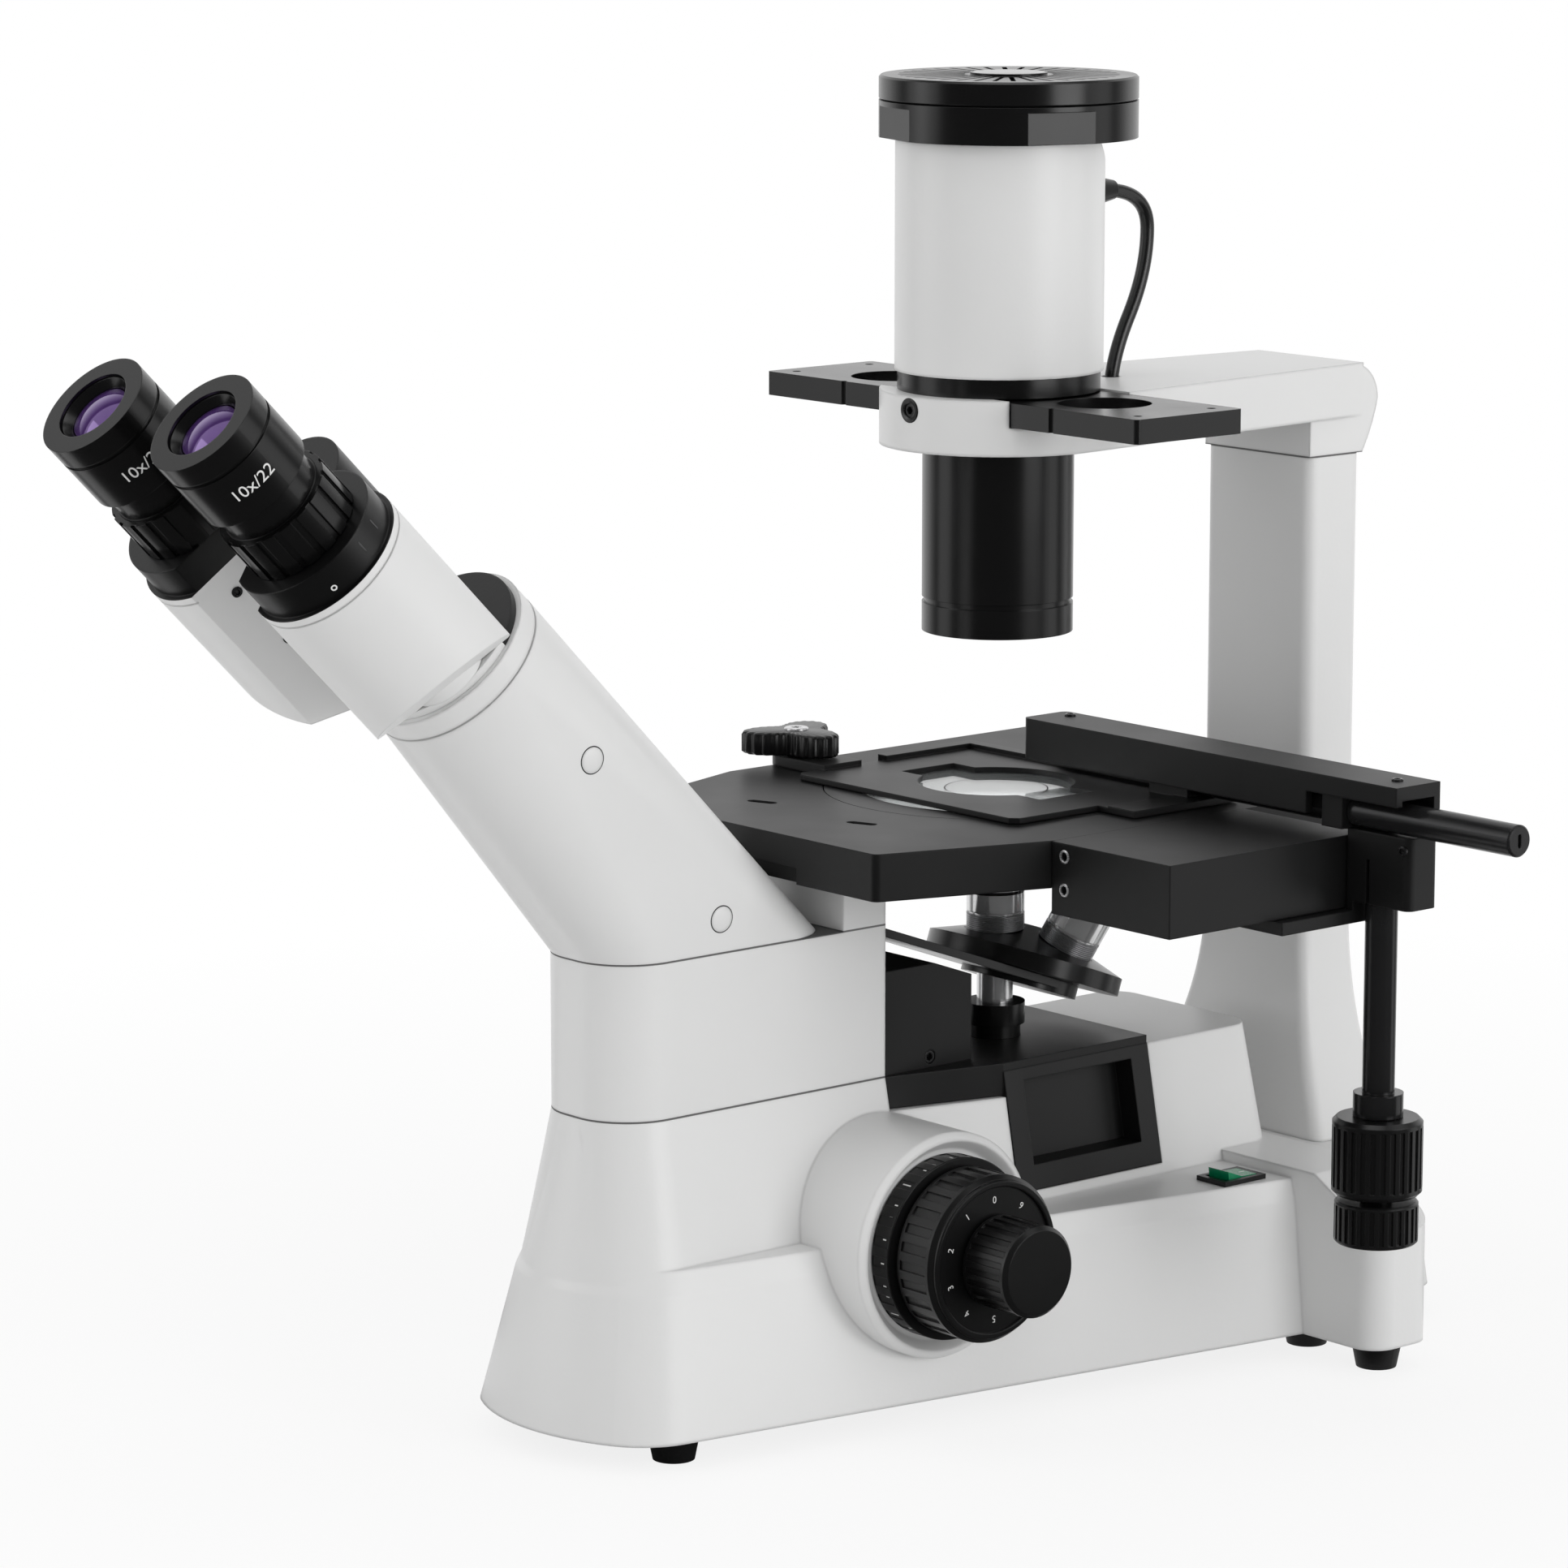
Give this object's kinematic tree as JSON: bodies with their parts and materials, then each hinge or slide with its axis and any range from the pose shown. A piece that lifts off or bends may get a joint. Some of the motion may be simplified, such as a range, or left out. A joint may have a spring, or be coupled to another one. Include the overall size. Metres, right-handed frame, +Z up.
{
  "type": "inverted microscope",
  "caption": "Inverted microscope with inclined binocular head, tilted nosepiece under a flat stage, drop-knob mechanical stage, and a lamp house with phase slider and condenser on a pillar.",
  "frame": {"origin": "on the bench, under the optical axis that runs from the lamp through the condenser and the stage to the upright objective", "axes": "+Z up, +Y away from the operator, +X to the operator's right"},
  "size_m": [0.355, 0.5568, 0.4742],
  "materials": {
    "white_enamel": "satin white enamel on cast aluminium",
    "black_anodised": "satin black anodised",
    "black_plastic": "satin black plastic",
    "bright_steel": "turned bright metal",
    "bright_chrome": "polished plating",
    "dark_steel": "blackened steel",
    "clear_glass": "polished glass",
    "coated_glass": "violet coated glass",
    "black_rubber": "matt rubber",
    "green_plastic": "glossy green plastic",
    "mirror_glass": "front silvered"
  },
  "bodies": {
    "frame": {"base_casting": "white_enamel", "base_plate": "dark_steel", "base_mirror": "mirror_glass", "rubber_feet": "black_rubber", "neck_block": "white_enamel", "tube_lens": "clear_glass", "viewing_tube": "white_enamel", "head_pivot_plate": "black_anodised", "pillar": "white_enamel", "lamp_arm": "white_enamel", "lamp_collar": "black_anodised", "lamp_body": "white_enamel", "cap_ring": "black_anodised", "vent_lid": "black_anodised", "lamp_holder": "black_plastic", "lamp_bulb": "clear_glass", "collector_lens": "clear_glass", "lead_gland": "black_plastic", "lamp_lead": "black_rubber", "condenser_barrel": "black_anodised", "condenser_lens": "clear_glass", "stage_plate": "black_anodised", "stage_insert": "clear_glass", "drive_housing": "black_anodised", "deck_cover": "black_anodised", "focus_block": "black_anodised", "light_tube_socket": "black_anodised", "switch_bezel": "black_plastic", "power_inlet": "black_plastic", "socket_screws": "dark_steel"},
    "right_ocular": {"right_cheek": "white_enamel", "right_eyepiece": "black_anodised", "right_eye_lens": "coated_glass"},
    "left_ocular": {"left_cheek": "white_enamel", "left_eyepiece": "black_anodised", "left_eye_lens": "coated_glass"},
    "right_diopter": {"right_diopter_ring": "black_anodised"},
    "left_diopter": {"left_diopter_ring": "black_anodised"},
    "slider": {"phase_slider": "black_anodised"},
    "y_carriage": {"x_rail": "black_anodised", "stage_carriage": "black_anodised", "drop_shaft": "dark_steel"},
    "x_carriage": {"specimen_holder": "black_anodised", "x_guide_rod": "dark_steel"},
    "clamp": {"clamp_knob": "black_plastic"},
    "y_drive": {"y_knob": "black_plastic"},
    "x_drive": {"x_knob": "black_plastic"},
    "nosepiece": {"nosepiece_carrier": "black_anodised", "light_tube": "bright_steel"},
    "turret": {"nosepiece_turret": "black_anodised", "scanning_objective": "bright_chrome", "low_power_objective": "bright_chrome", "medium_power_objective": "bright_chrome", "high_power_objective": "bright_chrome"},
    "coarse": {"coarse_knobs": "black_plastic"},
    "fine": {"fine_shaft": "dark_steel", "fine_knobs": "black_plastic"},
    "tension": {"tension_ring": "black_plastic"},
    "power_rocker": {"rocker": "green_plastic"},
    "dimmer": {"brightness_knob": "black_plastic"}
  },
  "joints": [
    {"name": "right_ocular_swing", "type": "hinge", "parent": "frame", "child": "right_ocular", "pos_m": [0, -0.249, 0.284], "axis": [0, -0.7071, 0.7071], "range_deg": [-8.5, 27.5]},
    {"name": "left_ocular_swing", "type": "hinge", "parent": "frame", "child": "left_ocular", "pos_m": [0, -0.249, 0.284], "axis": [0, -0.7071, 0.7071], "range_deg": [-27.5, 8.5]},
    {"name": "right_diopter_turn", "type": "hinge", "parent": "right_ocular", "child": "right_diopter", "pos_m": [0.031, -0.34057, 0.34658], "axis": [0, -0.7071, 0.7071], "range_deg": [-90, 90]},
    {"name": "left_diopter_turn", "type": "hinge", "parent": "left_ocular", "child": "left_diopter", "pos_m": [-0.031, -0.34057, 0.34658], "axis": [0, -0.7071, 0.7071], "range_deg": [-90, 90]},
    {"name": "phase_slide", "type": "slide", "parent": "frame", "child": "slider", "axis": [1, 0, 0], "range_m": [-0.056, 0.056]},
    {"name": "stage_y", "type": "slide", "parent": "frame", "child": "y_carriage", "axis": [0, 1, 0], "range_m": [-0.039, 0.039]},
    {"name": "stage_x", "type": "slide", "parent": "y_carriage", "child": "x_carriage", "axis": [1, 0, 0], "range_m": [-0.057, 0.057]},
    {"name": "y_knob_turn", "type": "hinge", "parent": "y_carriage", "child": "y_drive", "pos_m": [0.16, 0.0385, 0.1], "axis": [0, 0, 1], "range_deg": [-190, 190]},
    {"name": "x_knob_turn", "type": "hinge", "parent": "y_carriage", "child": "x_drive", "pos_m": [0.16, 0.0385, 0.07], "axis": [0, 0, 1], "range_deg": [-275, 275]},
    {"name": "clamp_turn", "type": "hinge", "parent": "x_carriage", "child": "clamp", "pos_m": [-0.084, -0.025, 0.2215], "axis": [0, 0, 1], "range_deg": [-180, 180]},
    {"name": "focus_slide", "type": "slide", "parent": "frame", "child": "nosepiece", "axis": [0, 0, 1], "range_m": [-0.003, 0.007]},
    {"name": "turret_turn", "type": "hinge", "parent": "nosepiece", "child": "turret", "pos_m": [0, 0.0134, 0.1412], "axis": [0, 0.342, 0.9397], "continuous": true},
    {"name": "coarse_turn", "type": "hinge", "parent": "frame", "child": "coarse", "pos_m": [0, -0.0855, 0.0665], "axis": [1, 0, 0], "range_deg": [-35, 81]},
    {"name": "fine_turn", "type": "hinge", "parent": "frame", "child": "fine", "pos_m": [0, -0.0855, 0.0665], "axis": [1, 0, 0], "continuous": true},
    {"name": "tension_turn", "type": "hinge", "parent": "frame", "child": "tension", "pos_m": [0.07, -0.0855, 0.0665], "axis": [1, 0, 0], "range_deg": [-60, 60]},
    {"name": "power_switch", "type": "hinge", "parent": "frame", "child": "power_rocker", "pos_m": [0.07, 0.055, 0.0683], "axis": [1, 0, 0], "range_deg": [0, 22]},
    {"name": "brightness_turn", "type": "hinge", "parent": "frame", "child": "dimmer", "pos_m": [-0.066, 0.055, 0.07], "axis": [0, 0, 1], "range_deg": [0, 270]}
  ],
  "couplings": [
    {"joint": "left_ocular_swing", "follows": "right_ocular_swing", "ratio": -1},
    {"joint": "coarse_turn", "follows": "focus_slide", "rad_per_m": 200},
    {"joint": "y_knob_turn", "follows": "stage_y", "rad_per_m": 83.333},
    {"joint": "x_knob_turn", "follows": "stage_x", "rad_per_m": 83.333}
  ]
}
